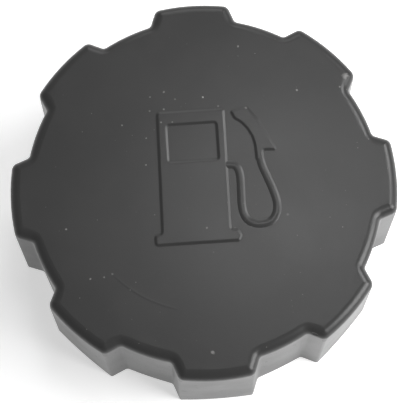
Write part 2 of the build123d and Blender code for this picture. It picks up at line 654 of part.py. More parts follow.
def pressure_plate():
    """Valve plate with guide ears, and a hub with the bore and ports of the vacuum valve."""
    plate = disc(PLATE_RADIUS, PLATE_Z, PLATE_TOP_Z)
    guide_reach = CAGE_INNER_RADIUS - MOVING_GAP
    ears = spokes(
        PLATE_GUIDES,
        0,
        PLATE_RADIUS - PLATE_THICKNESS,
        guide_reach - SEAT_FIT,
        PLATE_GUIDE_WIDTH,
        PLATE_Z,
        PLATE_TOP_Z,
    )
    ears = [ear & disc(guide_reach, PLATE_Z, PLATE_TOP_Z) for ear in ears]
    hub = disc(HUB_RADIUS, HUB_Z, HUB_TOP_Z)
    stem_bore = disc(STEM_BORE_RADIUS, HUB_Z, HUB_TOP_Z)
    port = slab(Circle(VACUUM_PORT_RADIUS), HUB_Z, HUB_TOP_Z)
    ports = [place * port for place in PolarLocations(VACUUM_PORT_CIRCLE_RADIUS, VACUUM_PORTS)]
    return plate + ears + hub - stem_bore - ports


def pressure_seal():
    """Rubber ring under the plate, which rests on the seat's lip."""
    return ring(HUB_RADIUS + SEAT_FIT, PRESSURE_SEAL_RADIUS, SEAT_LIP_Z, PLATE_Z)


def seal_clamp():
    """Ring on the hub that holds the pressure seal against the plate."""
    return ring(HUB_RADIUS + GUIDE_FIT, CLAMP_RADIUS, CLAMP_Z, SEAT_LIP_Z)


def spring(radius, wire, turns, low, high):
    """Coil spring with ground ends between two heights, its wire drawn with a few flat sides."""
    grind = wire * SPRING_GRIND
    rise = high - low - wire + 2 * grind
    path = Pos(0, 0, low + wire / 2 - grind) * Helix(rise / turns, rise, radius)
    section = Plane(path @ 0, z_dir=path % 0) * RegularPolygon(wire / 2, WIRE_SIDES)
    coil = sweep(section, path=path, is_frenet=True)
    return coil & disc(radius + wire, low, high)


def pressure_spring():
    """Spring between the pressure plate and its retainer."""
    return spring(
        PRESSURE_SPRING_RADIUS,
        PRESSURE_SPRING_WIRE,
        PRESSURE_SPRING_TURNS,
        PLATE_TOP_Z,
        RETAINER_Z,
    )


def vacuum_poppet():
    """Head and stem of the vacuum valve, with a groove for its clip."""
    head = disc(HUB_RADIUS, POPPET_Z, VACUUM_SEAL_Z)
    stem = disc(STEM_RADIUS, VACUUM_SEAL_Z, STEM_TOP_Z)
    groove_radius = STEM_RADIUS - STEM_GROOVE_DEPTH
    groove = ring(groove_radius, STEM_RADIUS * 2, CLIP_Z, CLIP_Z + CLIP_THICKNESS)
    return head + stem - groove


def vacuum_seal():
    """Rubber washer on the poppet's head, which closes the ports."""
    return ring(STEM_BORE_RADIUS, HUB_RADIUS - SEAT_FIT, VACUUM_SEAL_Z, HUB_Z)


def vacuum_spring():
    """Spring round the stem, between the hub and the clip."""
    return spring(
        VACUUM_SPRING_RADIUS,
        VACUUM_SPRING_WIRE,
        VACUUM_SPRING_TURNS,
        HUB_TOP_Z,
        CLIP_Z,
    )


def stem_clip():
    """Open ring in the stem's groove."""
    bore = STEM_RADIUS - STEM_GROOVE_DEPTH + GUIDE_FIT
    clip = ring(bore, CLIP_RADIUS, CLIP_Z, CLIP_Z + CLIP_THICKNESS)
    mouth = Pos(CLIP_RADIUS / 2, 0, 0) * Rectangle(CLIP_RADIUS, CLIP_MOUTH)
    return clip - slab(mouth, CLIP_Z, CLIP_Z + CLIP_THICKNESS)


PARTS = [
    grip_cover,
    click_ring,
    retaining_ring,
    thrust_washer,
    threaded_cap,
    neck_gasket,
    valve_cage,
    cage_seal,
    splash_baffle,
    cage_screws,
    spring_retainer,
    vent_filter,
    filter_cap,
    pressure_plate,
    pressure_seal,
    seal_clamp,
    pressure_spring,
    vacuum_poppet,
    vacuum_seal,
    vacuum_spring,
    stem_clip,
]

os.makedirs("parts", exist_ok=True)
for make in PARTS:
    export_step(make(), "parts/" + make.__name__ + ".step")
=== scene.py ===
"""Looks of a fuel filler cap: its finishes, pump sign, thread, screws, springs and studio."""

import json
import logging
import math
from dataclasses import dataclass
from enum import Enum
from typing import Optional, Sequence, Union

import bmesh
import bpy
from mathutils import Matrix, Vector


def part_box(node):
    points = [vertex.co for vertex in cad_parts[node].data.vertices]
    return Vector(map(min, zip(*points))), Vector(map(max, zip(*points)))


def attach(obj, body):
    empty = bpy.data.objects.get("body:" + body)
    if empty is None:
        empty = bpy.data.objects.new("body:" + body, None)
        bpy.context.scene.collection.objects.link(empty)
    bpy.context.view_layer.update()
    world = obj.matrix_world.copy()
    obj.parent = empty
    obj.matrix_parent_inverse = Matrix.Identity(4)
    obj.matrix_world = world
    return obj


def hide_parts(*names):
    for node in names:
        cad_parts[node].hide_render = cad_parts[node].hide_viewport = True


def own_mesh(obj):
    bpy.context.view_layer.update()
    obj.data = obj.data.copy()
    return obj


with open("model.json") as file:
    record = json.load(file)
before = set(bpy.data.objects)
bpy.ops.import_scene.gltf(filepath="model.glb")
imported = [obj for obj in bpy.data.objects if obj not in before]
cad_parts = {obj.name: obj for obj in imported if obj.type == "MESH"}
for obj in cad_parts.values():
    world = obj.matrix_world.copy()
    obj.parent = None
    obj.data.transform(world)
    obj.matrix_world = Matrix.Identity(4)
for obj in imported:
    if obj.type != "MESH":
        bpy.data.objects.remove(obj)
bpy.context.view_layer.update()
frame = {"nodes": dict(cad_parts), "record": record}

LOG = logging.getLogger("filler_cap")
MM = 0.001
FULL_TURN = 2 * math.pi
Z_AXIS = Vector((0, 0, 1))


class Body(Enum):
    """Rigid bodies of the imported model."""

    CLOSURE = "closure"
    COVER = "cover"
    PRESSURE_VALVE = "pressure_valve"
    VACUUM_VALVE = "vacuum_valve"


class Slot(Enum):
    """Material slots of the record."""

    COVER = "cover_plastic"
    CLOSURE = "closure_plastic"
    CAGE = "cage_plastic"
    ACETAL = "acetal_white"
    RUBBER = "gasket_rubber"
    SCREW = "screw_steel"
    SPRING = "spring_steel"
    FOAM = "filter_foam"


class Value:
    """A shader socket that can be used in arithmetic."""

    def __init__(self, sheet: "ShaderSheet", socket: bpy.types.NodeSocket) -> None:
        """Wrap an output socket.

        Args:
            sheet: the node tree's builder.
            socket: the output socket that holds the number.
        """
        self.sheet = sheet
        self.socket = socket

    def _math(self, operation: str, *terms: Union["Value", float]) -> "Value":
        """Add a Math node.

        Args:
            operation: what it does.
            terms: the values or numbers that it takes.

        Returns:
            Its result.
        """
        made = self.sheet.node("ShaderNodeMath", {"operation": operation}, dict(enumerate(terms)))
        return Value(self.sheet, made.outputs[0])

    def __add__(self, other: Union["Value", float]) -> "Value":
        """Sum."""
        return self._math("ADD", self, other)

    def __radd__(self, other: float) -> "Value":
        """Sum with a number on the left."""
        return self._math("ADD", other, self)

    def __sub__(self, other: Union["Value", float]) -> "Value":
        """Difference."""
        return self._math("SUBTRACT", self, other)

    def __rsub__(self, other: float) -> "Value":
        """Difference from a number on the left."""
        return self._math("SUBTRACT", other, self)

    def __mul__(self, other: Union["Value", float]) -> "Value":
        """Product."""
        return self._math("MULTIPLY", self, other)

    def __rmul__(self, other: float) -> "Value":
        """Product with a number on the left."""
        return self._math("MULTIPLY", other, self)

    def absolute(self) -> "Value":
        """Absolute value."""
        return self._math("ABSOLUTE", self)

    def root(self) -> "Value":
        """Square root."""
        return self._math("SQRT", self)

    def most(self, other: Union["Value", float]) -> "Value":
        """Larger of two numbers."""
        return self._math("MAXIMUM", self, other)

    def angle_to(self, other: "Value") -> "Value":
        """Angle of a point about the origin.

        Args:
            other: its X, where this value is its Y.

        Returns:
            The angle in radians, from -pi to pi.
        """
        return self._math("ARCTAN2", self, other)

    def step(self, start: float, end: float) -> "Value":
        """Smooth rise from 0 at start to 1 at end, or fall where start is the larger.

        Args:
            start: the number at which the result is 0.
            end: the number at which the result is 1.

        Returns:
            The eased number.
        """
        low, high = (0.0, 1.0) if start < end else (1.0, 0.0)
        made = self.sheet.node(
            "ShaderNodeMapRange",
            {"interpolation_type": "SMOOTHSTEP"},
            {"Value": self, "From Min": min(start, end), "From Max": max(start, end),
             "To Min": low, "To Max": high},
        )
        return Value(self.sheet, made.outputs["Result"])


class ShaderSheet:
    """Builder of the node tree of one material or world."""

    def __init__(self, holder: Union[bpy.types.Material, bpy.types.World]) -> None:
        """Start with an empty tree.

        Args:
            holder: the material or world.
        """
        self.holder = holder
        holder.use_nodes = True
        self.tree = holder.node_tree
        self.tree.nodes.clear()

    def node(self, kind: str, settings: dict, inputs: dict) -> bpy.types.Node:
        """Add a node.

        Args:
            kind: the node's type.
            settings: its properties, set before its sockets.
            inputs: numbers, colours, values or sockets by the input's name or number.

        Returns:
            The new node.
        """
        made = self.tree.nodes.new(kind)
        for key, setting in settings.items():
            setattr(made, key, setting)
        for key, given in inputs.items():
            if isinstance(given, Value):
                given = given.socket
            if isinstance(given, bpy.types.NodeSocket):
                self.tree.links.new(given, made.inputs[key])
            else:
                made.inputs[key].default_value = given
        return made

    def place(self) -> bpy.types.NodeSocket:
        """Object coordinates, in metres."""
        return self.node("ShaderNodeTexCoord", {}, {}).outputs["Object"]

    def stretched(self, scale: Sequence[float], turn: float = 0.0) -> bpy.types.NodeSocket:
        """Object coordinates, scaled and turned.

        Args:
            scale: the scale along each axis.
            turn: the turn about Z in radians.

        Returns:
            The coordinates' socket.
        """
        inputs = {"Vector": self.place(), "Scale": scale, "Rotation": (0, 0, turn)}
        return self.node("ShaderNodeMapping", {}, inputs).outputs["Vector"]

    def axes(self) -> tuple[Value, Value, Value]:
        """X, Y and Z of the Object coordinates as values."""
        parts = self.node("ShaderNodeSeparateXYZ", {}, {"Vector": self.place()})
        return tuple(Value(self, parts.outputs[i]) for i in range(3))

    def noise(self, size: float, detail: float = 2.0,
              where: Optional[bpy.types.NodeSocket] = None) -> Value:
        """Noise from 0 to 1.

        Args:
            size: width of its features in metres.
            detail: how many finer layers it has.
            where: coordinates, or the Object coordinates.

        Returns:
            The noise.
        """
        inputs = {"Vector": where or self.place(), "Scale": 1 / size, "Detail": detail}
        return Value(self, self.node("ShaderNodeTexNoise", {}, inputs).outputs["Fac"])

    def distance_to(self, where: bpy.types.NodeSocket, point: Sequence[float]) -> Value:
        """Distance from a point.

        Args:
            where: the coordinates.
            point: the point, in the same metres.

        Returns:
            The distance.
        """
        made = self.node("ShaderNodeVectorMath", {"operation": "DISTANCE"}, {0: where, 1: point})
        return Value(self, made.outputs["Value"])

    def cells(self, size: float, feature: str = "F1") -> bpy.types.Node:
        """Voronoi cells.

        Args:
            size: their width in metres.
            feature: what their distance is measured from.

        Returns:
            The node, with its distance and colour.
        """
        inputs = {"Vector": self.place(), "Scale": 1 / size}
        return self.node("ShaderNodeTexVoronoi", {"feature": feature}, inputs)

    def blend(self, share: Value, low: Union[Sequence[float], bpy.types.NodeSocket],
              high: Union[Sequence[float], bpy.types.NodeSocket]) -> bpy.types.NodeSocket:
        """Mix two colours.

        Args:
            share: how much of the second colour.
            low: colour where the share is 0.
            high: colour where the share is 1.

        Returns:
            The colour's socket.
        """
        made = self.node("ShaderNodeMix", {"data_type": "RGBA"}, {"Factor": share, 6: low, 7: high})
        return made.outputs[2]

    def bump(self, height: Value, distance: float,
             under: Optional[bpy.types.NodeSocket] = None) -> bpy.types.NodeSocket:
        """Normal that a height gives.

        Args:
            height: the height from 0 to 1.
            distance: the depth of a height of 1, in metres.
            under: the normal of a coarser or finer bump that this one adds to, if any.

        Returns:
            The normal's socket.
        """
        inputs = {"Height": height, "Distance": distance, "Strength": 1.0}
        if under is not None:
            inputs["Normal"] = under
        return self.node("ShaderNodeBump", {}, inputs).outputs["Normal"]

    def surface(self, settings: dict) -> bpy.types.Material:
        """Finish the tree with one Principled shader.

        Args:
            settings: numbers, colours or sockets by the shader's input names.

        Returns:
            The finished material.
        """
        shader = self.node("ShaderNodeBsdfPrincipled", {}, settings)
        self.node("ShaderNodeOutputMaterial", {}, {"Surface": shader.outputs[0]})
        return self.holder

    def background_rays(self) -> Value:
        """1 on rays that show the background, seen, mirrored or let through, and 0 on others."""
        path = self.node("ShaderNodeLightPath", {}, {})
        seen = Value(self, path.outputs["Is Camera Ray"])
        for kind in ("Is Glossy Ray", "Is Transmission Ray"):
            seen = seen.most(Value(self, path.outputs[kind]))
        return seen


def grey(level: float, warmth: float = 0.0) -> tuple[float, float, float, float]:
    """A near-grey colour.

    Args:
        level: its linear brightness.
        warmth: how far red is above blue, as a share of the level.

    Returns:
        Red, green, blue and alpha.
    """
    return (level * (1 + warmth / 2), level, level * (1 - warmth / 2), 1.0)


WHITE = grey(1.0)


@dataclass(frozen=True)
class CoverPlastic:
    """Dark moulded plastic of the cover, with grain, scuffs, specks, dust, a nick with painted
    shade in it and a mould arc.

    The depths of specks, arc and nick are shares of the ripple's depth. The marks are the small
    pale specks at set places, as (x, y, reach, share) in millimetres, and the nick is at (x, y, z).
    """

    name: str = "cover_plastic"
    level: float = 0.016
    roughness: float = 0.30
    roughness_spread: float = 0.04
    ior: float = 1.36
    mottle_level: float = 0.019
    mottle_warmth: float = 0.01
    mottle_size: float = 14 * MM
    mottle_range: tuple[float, float] = (0.35, 0.7)
    scuff_gain: float = 1.5
    scuff_size: float = 2.5 * MM
    scuff_stretch: tuple[float, float, float] = (1, 5, 1)
    scuff_turn: float = math.radians(35)
    scuff_range: tuple[float, float] = (0.62, 0.8)
    scuff_share: float = 0.18
    scuff_roughness: float = 0.08
    speck_level: float = 0.30
    speck_warmth: float = 0.05
    speck_depth: float = 0.3
    speck_core: float = 0.3
    rag_size: float = 0.4 * MM
    rag_spread: float = 1.2
    rag_least: float = 0.4
    grain_size: float = 0.30 * MM
    grain_depth: float = 0.010 * MM
    ripple_size: float = 9.0 * MM
    ripple_depth: float = 0.018 * MM
    dust_cell: float = 1.3 * MM
    dust_reach: float = 0.11
    dust_core: float = 0.35
    dust_choice: tuple[float, float] = (0.6, 0.9)
    dust_patch: float = 11 * MM
    dust_patch_range: tuple[float, float] = (0.42, 0.60)
    dust_share: float = 0.5
    arc_radius: float = 29.3 * MM
    arc_half_width: float = 0.45 * MM
    arc_start: float = math.radians(-141)
    arc_end: float = math.radians(-104)
    arc_fade: float = math.radians(5)
    arc_shade: float = 0.5
    arc_share: float = 0.4
    arc_depth: float = 0.6
    nick_flatness: int = 2
    nick_reach: float = 0.85 * MM
    nick_core: float = 0.45 * MM
    # painted shade: how dark the nick's dent is painted, and how much of it
    nick_painted_shade: float = 0.3
    nick_painted_shade_share: float = 0.85
    nick_depth: float = 7.0
    top_range: tuple[float, float] = (30 * MM, 32 * MM)

    marks = (
        (10.3, 33.3, 0.32, 0.5), (-7.8, 23.2, 0.34, 0.4), (1.2, 21.3, 0.30, 0.9),
        (-18.0, 15.8, 0.28, 0.4), (-12.6, 12.3, 0.26, 0.4), (-13.0, 5.9, 0.26, 0.4),
        (33.3, 21.8, 0.30, 0.5), (0.0, -10.0, 0.34, 0.35), (-27.3, -20.0, 0.30, 0.6),
        (23.2, 21.6, 0.36, 0.6), (-0.6, -38.6, 0.55, 0.45), (-32.2, -8.0, 0.30, 0.6),
        (-11.1, 22.2, 0.26, 0.35), (11.0, 18.0, 0.40, 0.3), (-24.1, -19.8, 0.28, 0.4),
        (34.7, 24.4, 0.9, 0.3), (-8.1, 19.0, 0.34, 0.35), (-5.3, 21.3, 0.28, 0.25),
        (-11.4, 18.8, 0.28, 0.3), (-8.9, 15.8, 0.30, 0.35), (-6.3, 15.7, 0.26, 0.3),
        (4.6, 18.9, 0.34, 0.2), (18.7, -8.0, 0.40, 0.15), (-22.2, -19.2, 0.34, 0.25),
    )
    nick = (22.8, -35.8, 33.2)

    def top_mask(self, sheet: ShaderSheet) -> Value:
        """Mask of the cover's top."""
        return sheet.axes()[2].step(*self.top_range)

    def arc_mask(self, sheet: ShaderSheet) -> Value:
        """Mask of the faint arc that the mould's insert left on the top."""
        x, y, _ = sheet.axes()
        radius = (x * x + y * y).root()
        line = (radius - self.arc_radius).absolute().step(self.arc_half_width, 0.0)
        angle = y.angle_to(x)
        past_start = angle.step(self.arc_start, self.arc_start + self.arc_fade)
        before_end = angle.step(self.arc_end, self.arc_end - self.arc_fade)
        return line * (past_start * before_end) * self.top_mask(sheet)

    def mark_mask(self, sheet: ShaderSheet) -> Value:
        """Mask of the small pale marks at set places on the top."""
        top = self.top_mask(sheet)
        flat = sheet.stretched((1, 1, 0))
        ragged = sheet.noise(self.rag_size) * self.rag_spread + self.rag_least
        shares = []
        for x, y, reach, share in self.marks:
            spot = sheet.distance_to(flat, (x * MM, y * MM, 0)) * ragged
            shares.append(spot.step(reach * MM, reach * MM * self.speck_core) * share)
        return sum(shares) * top

    def dust_mask(self, sheet: ShaderSheet) -> Value:
        """Mask of the fine dust that lies in patches."""
        cell = sheet.cells(self.dust_cell)
        away = Value(sheet, cell.outputs["Distance"])
        near = away.step(self.dust_reach, self.dust_reach * self.dust_core)
        tint = sheet.node("ShaderNodeSeparateColor", {}, {"Color": cell.outputs["Color"]})
        chosen = Value(sheet, tint.outputs[0]).step(*self.dust_choice)
        return near * chosen * sheet.noise(self.dust_patch).step(*self.dust_patch_range)

    def nick_dent_and_shade_mask(self, sheet: ShaderSheet) -> Value:
        """Mask of the short nick in the edge, which is wider than it is high; it sinks the dent and
        darkens its colour as painted shade.
        """
        x, y, z = self.nick
        centre = (x * MM, y * MM, z * self.nick_flatness * MM)
        spot = sheet.distance_to(sheet.stretched((1, 1, self.nick_flatness)), centre)
        return spot.step(self.nick_reach, self.nick_core)

    def material(self) -> bpy.types.Material:
        """Build the material."""
        sheet = ShaderSheet(bpy.data.materials.new(self.name))
        mottle = sheet.noise(self.mottle_size, detail=3.0).step(*self.mottle_range)
        streaks = sheet.stretched(self.scuff_stretch, self.scuff_turn)
        scuff = sheet.noise(self.scuff_size, detail=4.0, where=streaks).step(*self.scuff_range)
        specks = self.mark_mask(sheet).most(self.dust_mask(sheet) * self.dust_share)
        # the nick's mask drives both its real dent and the painted shade in it
        nick = self.nick_dent_and_shade_mask(sheet)
        arc = self.arc_mask(sheet)
        body = grey(self.level)
        for share, coat in (
            (mottle, grey(self.mottle_level, self.mottle_warmth)),
            (scuff * self.scuff_share, grey(self.mottle_level * self.scuff_gain)),
            (arc * self.arc_share, grey(self.level * self.arc_shade)),
            (specks, grey(self.speck_level, self.speck_warmth)),
            # painted shade: the nick's dent is darkened in its colour
            (nick * self.nick_painted_shade_share, grey(self.level * self.nick_painted_shade)),
        ):
            body = sheet.blend(share, body, coat)
        ripple = sheet.noise(self.ripple_size)
        height = ripple + arc * self.arc_depth + specks * self.speck_depth - nick * self.nick_depth
        grain = sheet.bump(sheet.noise(self.grain_size), self.grain_depth)
        normal = sheet.bump(height, self.ripple_depth, grain)
        gloss = mottle * self.roughness_spread + self.roughness + scuff * self.scuff_roughness
        return sheet.surface({"Base Color": body, "Roughness": gloss, "Normal": normal,
                              "IOR": self.ior})


@dataclass(frozen=True)
class PlainPlastic:
    """Moulded plastic of the inner pieces, with a fine flow pattern."""

    name: str
    colour: tuple[float, float, float, float]
    roughness: float = 0.42
    roughness_spread: float = 0.12
    ior: float = 1.5
    flow_size: float = 6.0 * MM
    flow_stretch: tuple[float, float, float] = (1, 1, 3)
    flow_range: tuple[float, float] = (0.3, 0.7)
    flow_shade: float = 0.82
    grain_size: float = 0.4 * MM
    grain_depth: float = 0.008 * MM

    def material(self) -> bpy.types.Material:
        """Build the material."""
        sheet = ShaderSheet(bpy.data.materials.new(self.name))
        flow = sheet.noise(self.flow_size, detail=3.0, where=sheet.stretched(self.flow_stretch))
        darker = tuple(channel * self.flow_shade for channel in self.colour[:3]) + (1.0,)
        body = sheet.blend(flow.step(*self.flow_range), darker, self.colour)
        gloss = flow * self.roughness_spread + self.roughness
        normal = sheet.bump(sheet.noise(self.grain_size), self.grain_depth)
        return sheet.surface({"Base Color": body, "Roughness": gloss, "Normal": normal,
                              "IOR": self.ior})


@dataclass(frozen=True)
class GasketRubber:
    """Black nitrile rubber with a dusty bloom."""

    name: str = "gasket_rubber"
    level: float = 0.022
    roughness: float = 0.72
    ior: float = 1.48
    bloom_level: float = 0.045
    bloom_warmth: float = 0.04
    bloom_size: float = 3 * MM
    bloom_range: tuple[float, float] = (0.45, 0.75)
    bloom_roughness: float = 0.1
    grain_size: float = 0.5 * MM
    grain_depth: float = 0.02 * MM

    def material(self) -> bpy.types.Material:
        """Build the material."""
        sheet = ShaderSheet(bpy.data.materials.new(self.name))
        bloom = sheet.noise(self.bloom_size, detail=5.0).step(*self.bloom_range)
        body = sheet.blend(bloom, grey(self.level), grey(self.bloom_level, self.bloom_warmth))
        gloss = self.roughness - bloom * self.bloom_roughness
        normal = sheet.bump(sheet.noise(self.grain_size, detail=3.0), self.grain_depth)
        return sheet.surface({"Base Color": body, "Roughness": gloss, "Normal": normal,
                              "IOR": self.ior})


@dataclass(frozen=True)
class BrightSteel:
    """Drawn or plated steel with fine lines."""

    name: str
    level: float
    roughness: float
    roughness_spread: float = 0.18
    line_size: float = 0.25 * MM
    line_stretch: tuple[float, float, float] = (1, 1, 6)
    line_depth: float = 0.006 * MM
    tarnish_size: float = 2 * MM
    tarnish_range: tuple[float, float] = (0.4, 0.8)
    tarnish_share: float = 0.5
    tarnish_shade: float = 0.7
    tarnish_warmth: float = 0.06

    def material(self) -> bpy.types.Material:
        """Build the material."""
        sheet = ShaderSheet(bpy.data.materials.new(self.name))
        lines = sheet.noise(self.line_size, where=sheet.stretched(self.line_stretch))
        tarnish = sheet.noise(self.tarnish_size, detail=3.0).step(*self.tarnish_range)
        tarnished = grey(self.level * self.tarnish_shade, self.tarnish_warmth)
        body = sheet.blend(tarnish * self.tarnish_share, grey(self.level), tarnished)
        gloss = lines * self.roughness_spread + self.roughness
        return sheet.surface({"Base Color": body, "Roughness": gloss, "Metallic": 1.0,
                              "Normal": sheet.bump(lines, self.line_depth)})


@dataclass(frozen=True)
class FilterFoam:
    """Open-cell foam of the vent filter, with painted shade in its pores."""

    name: str = "filter_foam"
    level: float = 0.09
    roughness: float = 0.9
    cell_size: float = 0.8 * MM
    pore_range: tuple[float, float] = (0.12, 0.4)
    # painted shade: how dark the pores are painted
    pore_painted_shade: float = 0.25
    pore_depth: float = 0.3 * MM

    def material(self) -> bpy.types.Material:
        """Build the material."""
        sheet = ShaderSheet(bpy.data.materials.new(self.name))
        cell = sheet.cells(self.cell_size, "DISTANCE_TO_EDGE")
        pore = Value(sheet, cell.outputs["Distance"]).step(*self.pore_range)
        # painted shade: the pores, which the bump sinks, are darkened in colour
        body = sheet.blend(pore, grey(self.level), grey(self.level * self.pore_painted_shade))
        return sheet.surface({"Base Color": body, "Roughness": self.roughness,
                              "Normal": sheet.bump(1 - pore, self.pore_depth)})


class Finishes:
    """One material for each slot, made once and shared."""

    def __init__(self) -> None:
        """Build every material."""
        self.by_slot = {
            Slot.COVER: CoverPlastic().material(),
            Slot.CLOSURE: PlainPlastic("closure_plastic", grey(0.030)).material(),
            Slot.CAGE: PlainPlastic("cage_plastic", grey(0.27, 0.03), 0.4).material(),
            Slot.ACETAL: PlainPlastic("acetal_white", grey(0.66, 0.10), 0.34).material(),
            Slot.RUBBER: GasketRubber().material(),
            Slot.SCREW: BrightSteel("screw_steel", 0.6, 0.28).material(),
            Slot.SPRING: BrightSteel("spring_steel", 0.52, 0.24).material(),
            Slot.FOAM: FilterFoam().material(),
        }

    def dress_frame(self) -> None:
        """Give each CAD node the finish of its slot."""
        slots = {part["node"]: Slot(part["material_slot"]) for part in frame["record"]["subparts"]}
        for name, node in frame["nodes"].items():
            node.data.materials.clear()
            node.data.materials.append(self.by_slot[slots[name]])
            LOG.info("%s dressed in %s", name, slots[name].value)


def new_object(name: str, data: bpy.types.ID) -> bpy.types.Object:
    """Make an object at the origin and link it to the scene.

    Args:
        name: its name.
        data: its mesh, curve, lamp or camera.

    Returns:
        The object.
    """
    made = bpy.data.objects.new(name, data)
    bpy.context.scene.collection.objects.link(made)
    return made


def outline_points(corners: Sequence[Sequence[float]], inward: float,
                   segments: int = 5) -> list[Vector]:
    """Points of a flat outline with rounded corners, moved inwards.

    Args:
        corners: its corners, anticlockwise, as (x, y, how far from the corner its arc starts).
        inward: how far it moves, which is negative for outwards.
        segments: how many steps each arc has.

    Returns:
        The points in order, as many for every move.
    """
    points = []
    least_radius = 0.02
    for i, corner in enumerate(corners):
        near = (corner, corners[i - 1], corners[(i + 1) % len(corners)])
        here, back, ahead = (Vector(place[:2]) for place in near)
        to_back, to_ahead = (back - here).normalized(), (ahead - here).normalized()
        half = to_back.angle(to_ahead) / 2
        side = math.copysign(1.0, to_ahead.cross(to_back))
        bisector = (to_back + to_ahead).normalized()
        radius = max(corner[2] * math.tan(half) - side * inward, least_radius)
        centre = here + bisector * (side * inward + radius) / math.sin(half)
        start = to_back * radius / math.tan(half) - bisector * radius / math.sin(half)
        sweep = (math.pi - 2 * half) * side
        turns = [Matrix.Rotation(sweep * step / segments, 2) for step in range(segments + 1)]
        points += [centre + turn @ start for turn in turns]
    return points


class Workpiece:
    """A mesh under construction, worked in millimetres."""

    merge_reach = 0.002

    def __init__(self) -> None:
        """Start an empty mesh."""
        self.mesh = bmesh.new()
        self.rims = ([], [])

    def clean(self) -> None:
        """Merge doubles and point the faces outwards."""
        bmesh.ops.remove_doubles(self.mesh, verts=self.mesh.verts, dist=self.merge_reach)
        bmesh.ops.dissolve_degenerate(self.mesh, dist=self.merge_reach, edges=self.mesh.edges)
        bmesh.ops.recalc_face_normals(self.mesh, faces=self.mesh.faces)

    def soften(self, crease: float) -> None:
        """Shade the faces smooth and keep edges sharper than an angle crisp.

        Args:
            crease: the angle in degrees past which an edge stays sharp.
        """
        limit = math.radians(crease)
        for face in self.mesh.faces:
            face.smooth = True
        for edge in self.mesh.edges:
            edge.smooth = len(edge.link_faces) == 2 and edge.calc_face_angle(math.pi) < limit

    def everything(self) -> list:
        """Every vertex, edge and face, as the operators take them."""
        return self.mesh.verts[:] + self.mesh.edges[:] + self.mesh.faces[:]

    def cut_grid(self, pitch: float, reach: float) -> None:
        """Cut the mesh along planes across X and Y, so that it can follow a curved surface.

        Args:
            pitch: distance between the planes.
            reach: how far from the centre the planes go.
        """
        steps = int(reach / pitch)
        for axis in (Vector((1, 0, 0)), Vector((0, 1, 0))):
            for i in range(-steps, steps + 1):
                bmesh.ops.bisect_plane(self.mesh, geom=self.everything(), plane_co=axis * pitch * i,
                                       plane_no=axis)

    def bridge(self, loops: Sequence[Sequence[bmesh.types.BMVert]]) -> None:
        """Join loops by bands of faces.

        Args:
            loops: closed loops of as many vertices each, in order.
        """
        for low, high in zip(loops, loops[1:]):
            for i, vert in enumerate(low):
                self.mesh.faces.new((low[i - 1], vert, high[i], high[i - 1]))

    def terrace(self, corners: Sequence[Sequence[float]],
                levels: Sequence[tuple[float, float]]) -> None:
        """Add the wall that one outline makes as it moves inwards and upwards.

        Args:
            corners: its corners, anticlockwise, as (x, y, how far from the corner its arc starts).
            levels: how far inwards and how high each loop of the wall is.
        """
        loops = []
        for inward, height in levels:
            points = outline_points(corners, inward)
            loops.append([self.mesh.verts.new((*point, height)) for point in points])
        self.bridge(loops)
        for rim, loop in zip(self.rims, (loops[0], loops[-1])):
            rim += [self.mesh.edges.get((loop[i - 1], vert)) for i, vert in enumerate(loop)]

    def cap_rims(self, holed: bool) -> None:
        """Close the terraced walls below and above.

        Args:
            holed: whether a hole goes through the plate, so that each side has two rims.
        """
        for rim, normal in zip(self.rims, (-Z_AXIS, Z_AXIS)):
            if holed:
                bmesh.ops.triangle_fill(self.mesh, use_beauty=True, edges=rim, normal=normal)
            else:
                cap = bmesh.ops.edgeloop_fill(self.mesh, edges=rim)["faces"]
                bmesh.ops.triangulate(self.mesh, faces=cap)

    def scratch_object(self) -> bpy.types.Object:
        """Make an object that holds a copy of the mesh for a while.

        Returns:
            The object.
        """
        data = bpy.data.meshes.new("scratch")
        self.mesh.to_mesh(data)
        return new_object("scratch", data)

    def take_evaluated(self, holder: bpy.types.Object) -> None:
        """Add the mesh that an object's modifiers or curve make.

        Args:
            holder: the object, which is removed.
        """
        bpy.context.view_layer.update()
        shaped = holder.evaluated_get(bpy.context.evaluated_depsgraph_get())
        made = bpy.data.meshes.new_from_object(shaped)
        self.mesh.from_mesh(made)
        bpy.data.meshes.remove(made)
        bpy.data.objects.remove(holder)

    def cut_away(self, cutter: "Workpiece") -> None:
        """Cut another closed mesh out of this one.

        Args:
            cutter: the mesh that is cut away, which is used up.
        """
        holder, tool = self.scratch_object(), cutter.scratch_object()
        cut = holder.modifiers.new("cut", "BOOLEAN")
        cut.operation = "DIFFERENCE"
        cut.solver = "EXACT"
        cut.object = tool
        self.mesh.clear()
        self.take_evaluated(holder)
        bpy.data.objects.remove(tool)
        cutter.mesh.free()

    def finish(self, name: str, body: Body, slot: Slot, finishes: Finishes,
               crease: float = 40.0) -> bpy.types.Object:
        """Turn the mesh into an object that rides on a body.

        Args:
            name: the piece's name.
            body: the body that it moves with.
            slot: the slot whose finish it takes.
            finishes: the materials.
            crease: the angle in degrees past which its edges stay crisp.

        Returns:
            The finished object.
        """
        self.clean()
        self.soften(crease)
        bmesh.ops.scale(self.mesh, vec=(MM, MM, MM), verts=self.mesh.verts)
        data = bpy.data.meshes.new(name)
        self.mesh.to_mesh(data)
        self.mesh.free()
        data.materials.append(finishes.by_slot[slot])
        piece = new_object(name, data)
        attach(piece, body.value)
        LOG.info("%s: %d faces on %s", name, len(data.polygons), body.value)
        return piece


